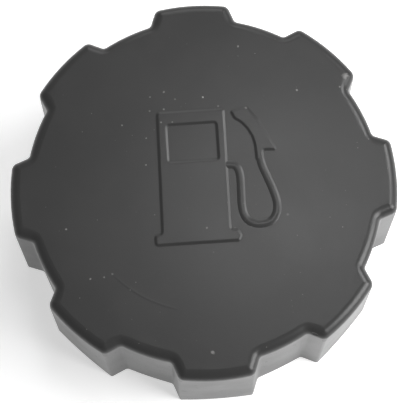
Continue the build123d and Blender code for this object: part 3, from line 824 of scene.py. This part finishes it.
@dataclass
class PumpSign:
    """Raised pump sign on the cover's top, in millimetres from the cap's axis."""

    height: float = 0.27
    body_slope: float = 0.80
    nozzle_slope: float = 0.75
    slope_steps: int = 8
    support: float = 0.04
    sunk: float = 0.25
    bead_width: float = 1.95
    bead_height: float = 0.25
    bead_steps: int = 12
    hose_resolution: int = 10
    hose_order: int = 3
    dome_rise: float = 0.7
    grid_pitch: float = 2.5
    grid_reach: float = 22.5

    pump_outline = (
        (-10.1, 18.5, 0.95), (-10.6, -10.5, 0.4), (-12.3, -10.8, 0.9), (-12.2, -13.7, 0.95),
        (7.5, -13.7, 0.6), (8.3, -12.1, 0.6), (7.2, -10.4, 0.6), (5.8, -10.4, 0.4),
        (6.15, 18.5, 0.95),
    )
    window_outline = ((-7.4, 14.7, 0.3), (-7.4, 6.4, 0.3), (3.5, 6.4, 0.3), (3.5, 14.7, 0.3))
    nozzle_outline = (
        (7.05, 17.6, 0.66), (7.85, 15.45, 0.66), (9.4, 14.5, 0.66), (10.7, 12.9, 0.66),
        (11.7, 10.9, 0.66), (12.15, 8.9, 0.66), (12.25, 5.0, 0.66), (14.5, 5.0, 0.66),
        (14.4, 7.35, 0.3), (17.85, 7.2, 1.05), (16.05, 10.8, 0.66), (13.8, 15.3, 0.66),
        (11.3, 18.6, 0.66), (9.1, 18.2, 0.66),
    )
    hose_route = (
        (5.2, 4.7), (7.0, 4.75), (8.1, 3.9), (8.55, 1.9), (8.45, -2.0), (8.35, -5.2),
        (8.65, -7.3), (9.7, -9.0), (11.5, -9.8), (13.4, -9.75), (15.1, -9.2), (16.35, -7.4),
        (16.6, -5.0), (16.0, -2.4), (14.7, 1.3), (13.5, 4.5), (13.3, 6.6),
    )

    def follow_dome(self, work: Workpiece) -> None:
        """Lift a piece from the flat onto the cover's domed top.

        Args:
            work: the piece.
        """
        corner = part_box("grip_cover")[1] / MM
        dome = (corner.y**2 + self.dome_rise**2) / (2 * self.dome_rise)
        for vert in work.mesh.verts:
            reach = math.hypot(vert.co.x, vert.co.y)
            vert.co.z += corner.z - dome + math.sqrt(dome**2 - reach**2)

    def plate(self, name: str, outlines: Sequence[Sequence[Sequence[float]]], slope: float,
              finishes: Finishes) -> None:
        """Make one low plate with a soft moulded edge.

        Args:
            name: the piece's name.
            outlines: its outer outline, then that of a hole where it has one.
            slope: how wide its edge's slope is.
            finishes: the materials.
        """
        levels = [(0.0, -self.sunk)]
        for i in range(self.slope_steps + 1):
            share = i / self.slope_steps
            levels.append((slope * share, self.height * share * share * (3 - 2 * share)))
        levels.append((slope + self.support, self.height))
        work = Workpiece()
        for side, corners in zip((1, -1), outlines):
            work.terrace(corners, [(side * inward, height) for inward, height in levels])
        work.cap_rims(len(outlines) > 1)
        work.cut_grid(self.grid_pitch, self.grid_reach)
        self.follow_dome(work)
        work.finish(name, Body.COVER, Slot.COVER, finishes)

    def hose(self, finishes: Finishes) -> None:
        """Sweep the hose's low rounded bead from the pump's side to the nozzle.

        Args:
            finishes: the materials.
        """
        line = bpy.data.curves.new("hose_line", "CURVE")
        line.resolution_u = self.hose_resolution
        spline = line.splines.new("NURBS")
        spline.points.add(len(self.hose_route) - 1)
        for point, place in zip(spline.points, self.hose_route):
            point.co = (*place, 0, 1)
        spline.order_u = self.hose_order
        spline.use_endpoint_u = True
        work = Workpiece()
        mesh = work.mesh
        work.take_evaluated(new_object("hose_line", line))
        path = [vert.co.xy for vert in mesh.verts]
        mesh.clear()
        half = self.bead_width / 2
        crossings = [half * (2 * i / self.bead_steps - 1) for i in range(self.bead_steps + 1)]
        section = [(across, self.bead_height * (1 - (across / half) ** 2)) for across in crossings]
        section = [(-half, -self.sunk), *section, (half, -self.sunk)]
        rings = []
        for here, back, ahead in zip(path, path[:1] + path[:-1], path[1:] + path[-1:]):
            along = (ahead - back).normalized()
            side = Vector((-along.y, along.x))
            rings.append([mesh.verts.new((*(here + side * across), height))
                          for across, height in section])
        work.bridge(rings)
        mesh.faces.new(rings[0])
        mesh.faces.new(rings[-1][::-1])
        self.follow_dome(work)
        work.finish("pump_sign_hose", Body.COVER, Slot.COVER, finishes)

    def build(self, finishes: Finishes) -> None:
        """Make every part of the sign.

        Args:
            finishes: the materials.
        """
        self.plate("pump_sign_body", (self.pump_outline, self.window_outline), self.body_slope,
                   finishes)
        self.plate("pump_sign_nozzle", (self.nozzle_outline,), self.nozzle_slope, finishes)
        self.hose(finishes)


@dataclass
class NeckThread:
    """Ridge of the female neck thread inside the closure's bore, in millimetres."""

    bore_radius: float = 30.5
    depth: float = 1.4
    root_width: float = 2.4
    crest_width: float = 0.9
    crest_round: float = 0.25
    crest_steps: int = 3
    pitch: float = 3.6
    first_turn: float = 3.9
    turns: float = 2.2
    steps_a_turn: int = 72
    run_out: float = math.radians(35)
    least_share: float = 0.02
    sunk: float = 0.15
    crease: float = 50.0

    def build(self, finishes: Finishes) -> None:
        """Sweep the ridge's section along its helix and run both ends out to the wall.

        Args:
            finishes: the materials.
        """
        work = Workpiece()
        mesh = work.mesh
        wall = self.bore_radius + self.sunk
        crest = self.bore_radius - self.depth
        corners = ((wall, -self.root_width / 2), (crest, -self.crest_width / 2),
                   (crest, self.crest_width / 2), (wall, self.root_width / 2))
        verts = [mesh.verts.new((r, 0, self.first_turn + z)) for r, z in corners]
        mesh.faces.new(verts)
        bmesh.ops.bevel(mesh, geom=[verts[1], verts[2]], offset=self.crest_round,
                        offset_type="OFFSET", affect="VERTICES", segments=self.crest_steps,
                        profile=0.5, material=-1)
        steps = round(self.steps_a_turn * self.turns)
        sweep = FULL_TURN * self.turns
        rise = self.pitch * self.turns / steps
        bmesh.ops.spin(mesh, geom=mesh.faces[:], cent=(0, 0, 0), axis=Z_AXIS, dvec=(0, 0, rise),
                       angle=sweep, steps=steps, use_merge=False, use_duplicate=False)
        climb = self.pitch / FULL_TURN
        for vert in mesh.verts:
            turned = math.atan2(vert.co.y, vert.co.x) % FULL_TURN
            whole = round((vert.co.z - self.first_turn - turned * climb) / self.pitch)
            travel = turned + whole * FULL_TURN
            ease = min(1.0, max(0.0, min(travel, sweep - travel) / self.run_out))
            radius = math.hypot(vert.co.x, vert.co.y)
            kept = wall - (wall - radius) * max(ease, self.least_share)
            vert.co.x *= kept / radius
            vert.co.y *= kept / radius
        work.finish("neck_thread_ridge", Body.CLOSURE, Slot.CLOSURE, finishes, self.crease)


@dataclass
class CageScrew:
    """Pan-head screw with a cross recess, seen from below, in millimetres.

    The head's profile is in shares of its radius and height, and the recess's taper gives the
    shares of its length and width at the upper end.
    """

    circle_radius: float = 18.0
    count: int = 3
    head_radius: float = 2.0
    head_height: float = 1.1
    shank_radius: float = 1.05
    length: float = 7.0
    recess_length: float = 2.3
    recess_width: float = 0.55
    recess_depth: float = 0.7
    spin_steps: int = 48

    head_profile = ((0.0, 0.0), (0.55, 0.0), (0.86, 0.18), (1.0, 0.55), (1.0, 1.0))
    recess_taper = (0.45, 0.7)

    def build(self, finishes: Finishes) -> None:
        """Make each screw where its CAD solid is, in place of the node.

        Args:
            finishes: the materials.
        """
        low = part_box("cage_screws")[0].z / MM
        for i in range(self.count):
            angle = math.pi / 2 + FULL_TURN * i / self.count
            place = Vector((self.circle_radius * math.cos(angle),
                            self.circle_radius * math.sin(angle), low))
            self.screw(f"cage_screw_{i + 1}", place, angle * (i + 1), finishes)
        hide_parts("cage_screws")

    def screw(self, name: str, place: Vector, turn: float, finishes: Finishes) -> bpy.types.Object:
        """Make one screw.

        Args:
            name: the piece's name.
            place: the middle of its head's underside.
            turn: how far its recess is turned, in radians.
            finishes: the materials.

        Returns:
            The screw.
        """
        work = Workpiece()
        mesh = work.mesh
        tip = self.head_height + self.length
        profile = [(self.head_radius * out, self.head_height * up) for out, up in self.head_profile]
        profile += [(self.shank_radius, self.head_height), (self.shank_radius, tip), (0, tip)]
        verts = [mesh.verts.new((x, 0, z)) for x, z in profile]
        edges = [mesh.edges.new(pair) for pair in zip(verts, verts[1:])]
        bmesh.ops.spin(mesh, geom=verts + edges, cent=(0, 0, 0), axis=Z_AXIS, angle=FULL_TURN,
                       steps=self.spin_steps, use_merge=True)
        work.clean()
        work.cut_away(self.recess_cutter(turn))
        bmesh.ops.translate(mesh, vec=place, verts=mesh.verts)
        return work.finish(name, Body.CLOSURE, Slot.SCREW, finishes)

    def recess_cutter(self, turn: float) -> Workpiece:
        """Make the tapered cross that cuts the recess.

        Args:
            turn: how far it is turned, in radians.

        Returns:
            The closed cutter.
        """
        work = Workpiece()
        mesh = work.mesh
        turns = [Matrix.Rotation(turn + side * math.pi / 2, 2) for side in range(4)]
        ends = ((-self.recess_depth, (1.0, 1.0)), (self.recess_depth, self.recess_taper))
        rings = []
        for height, (long_share, wide_share) in ends:
            arm, half = self.recess_length / 2 * long_share, self.recess_width / 2 * wide_share
            quarter = ((arm, -half), (arm, half), (half, half))
            flat = [spin @ Vector(point) for spin in turns for point in quarter]
            rings.append([mesh.verts.new((*point, height)) for point in flat])
        work.bridge(rings)
        mesh.faces.new(rings[1])
        mesh.faces.new(rings[0][::-1])
        work.clean()
        return work


@dataclass
class ValveSpring:
    """Round-wire coil spring with ground ends, in millimetres."""

    node: str
    joint: str
    body: Body
    coil_radius: float
    wire: float
    turns: float
    travel: float
    fixed_at_top: bool
    steps_a_turn: int = 48
    wire_sides: int = 12
    crease: float = 60.0

    def build(self, finishes: Finishes) -> None:
        """Sweep the wire between the node's two ends and grind both ends flat.

        Args:
            finishes: the materials.
        """
        low, high = (corner.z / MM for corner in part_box(self.node))
        work = Workpiece()
        mesh = work.mesh
        ring = bmesh.ops.create_circle(mesh, cap_ends=True, radius=self.wire / 2,
                                       segments=self.wire_sides)
        upright = Matrix.Rotation(math.pi / 2, 3, "X")
        bmesh.ops.rotate(mesh, cent=(0, 0, 0), matrix=upright, verts=ring["verts"])
        bmesh.ops.translate(mesh, vec=(self.coil_radius, 0, low), verts=ring["verts"])
        steps = round(self.steps_a_turn * self.turns)
        bmesh.ops.spin(mesh, geom=mesh.faces[:], cent=(0, 0, 0), axis=Z_AXIS,
                       dvec=(0, 0, (high - low) / steps), angle=FULL_TURN * self.turns, steps=steps,
                       use_merge=False)
        for vert in mesh.verts:
            vert.co.z = min(high, max(low, vert.co.z))
        piece = work.finish(self.node + "_coil", self.body, Slot.SPRING, finishes, self.crease)
        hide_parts(self.node)
        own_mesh(piece)


@dataclass(frozen=True)
class Lamp:
    """Soft square lamp aimed at the cap, in metres and watts."""

    name: str
    place: tuple[float, float, float]
    size: float
    power: float

    def build(self) -> None:
        """Stand the lamp and turn it to the cap."""
        data = bpy.data.lights.new(self.name, "AREA")
        data.size = self.size
        data.energy = self.power
        lamp = new_object(self.name, data)
        lamp.location = self.place
        lamp.rotation_euler = Vector(self.place).to_track_quat("Z", "Y").to_euler()


@dataclass
class Studio:
    """Floor, lamps, world and camera, in metres."""

    elevation: float = math.radians(76.45)
    azimuth: float = math.radians(-3.28)
    roll: float = math.radians(0.59)
    cap_radius: float = 45 * MM
    distance: float = 9.80 * cap_radius
    aim_x: float = -0.0081 * cap_radius
    aim_y: float = 0.1054 * cap_radius
    focal_pixels: float = 1761.7
    frame_width: float = 405.0
    sensor: float = 36.0
    clip_start: float = 0.01
    floor_reach: float = 3.0
    floor_level: float = 0.82
    floor_glow: float = 0.55
    sky_level: float = 0.12

    lamps = (
        Lamp("key_lamp", (0.33, -0.12, 0.22), size=0.26, power=2.1),
        Lamp("slope_lamp", (0.30, 0.16, 0.34), size=0.18, power=1.2),
        Lamp("back_lamp", (0.02, 0.36, 0.26), size=0.22, power=0.4),
        Lamp("sheen_lamp", (0.065, 0.125, 0.61), size=0.12, power=0.48),
    )

    def build(self) -> None:
        """Set up everything that the cap stands on and is lit by."""
        self.camera()
        self.floor()
        self.world()
        for lamp in self.lamps:
            lamp.build()
        LOG.info("studio ready")

    def camera(self) -> None:
        """Camera at the photograph's angle."""
        data = bpy.data.cameras.new("camera")
        data.sensor_width = self.sensor
        data.lens = self.focal_pixels / self.frame_width * self.sensor
        data.clip_start = self.clip_start
        camera = new_object("camera", data)
        turn = Matrix.Rotation(self.azimuth, 4, "Z")
        back = turn @ Vector((0, -math.cos(self.elevation), math.sin(self.elevation)))
        aim = turn @ Vector((self.aim_x, self.aim_y, 0))
        look = back.to_track_quat("Z", "Y").to_matrix().to_4x4()
        tilt = Matrix.Rotation(-self.roll, 4, "Z")
        camera.matrix_world = Matrix.Translation(aim + back * self.distance) @ (look @ tilt)
        bpy.context.scene.camera = camera

    def floor(self) -> None:
        """Pale floor that shows white to the camera and in reflections, and keeps the shadow."""
        mesh = bmesh.new()
        bmesh.ops.create_grid(mesh, x_segments=1, y_segments=1, size=self.floor_reach)
        data = bpy.data.meshes.new("floor")
        mesh.to_mesh(data)
        mesh.free()
        floor = new_object("floor", data)
        sheet = ShaderSheet(bpy.data.materials.new("pale_floor"))
        strength = sheet.background_rays() * self.floor_glow
        glow = sheet.node("ShaderNodeEmission", {}, {"Color": WHITE, "Strength": strength})
        matt = sheet.node("ShaderNodeBsdfDiffuse", {}, {"Color": grey(self.floor_level)})
        both = sheet.node("ShaderNodeAddShader", {}, {0: glow.outputs[0], 1: matt.outputs[0]})
        sheet.node("ShaderNodeOutputMaterial", {}, {"Surface": both.outputs[0]})
        data.materials.append(sheet.holder)

    def world(self) -> None:
        """Plain grey light from all round, white to the camera and in reflections."""
        world = bpy.data.worlds.new("world")
        bpy.context.scene.world = world
        sheet = ShaderSheet(world)
        strength = sheet.background_rays() * (1 - self.sky_level) + self.sky_level
        sky = sheet.node("ShaderNodeBackground", {}, {"Color": WHITE, "Strength": strength})
        sheet.node("ShaderNodeOutputWorld", {}, {"Surface": sky.outputs[0]})


def main() -> None:
    """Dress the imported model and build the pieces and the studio."""
    logging.basicConfig(level=logging.INFO, format="%(message)s")
    bpy.context.scene.view_settings.view_transform = "Standard"
    finishes = Finishes()
    finishes.dress_frame()
    PumpSign().build(finishes)
    NeckThread().build(finishes)
    CageScrew().build(finishes)
    ValveSpring("pressure_spring", "pressure_lift", Body.CLOSURE, coil_radius=9.2, wire=0.9,
                turns=3.0, travel=2.0, fixed_at_top=True).build(finishes)
    ValveSpring("vacuum_spring", "vacuum_drop", Body.PRESSURE_VALVE, coil_radius=2.2, wire=0.4,
                turns=4.0, travel=1.0, fixed_at_top=False).build(finishes)
    Studio().build()


if __name__ == "__main__":
    main()
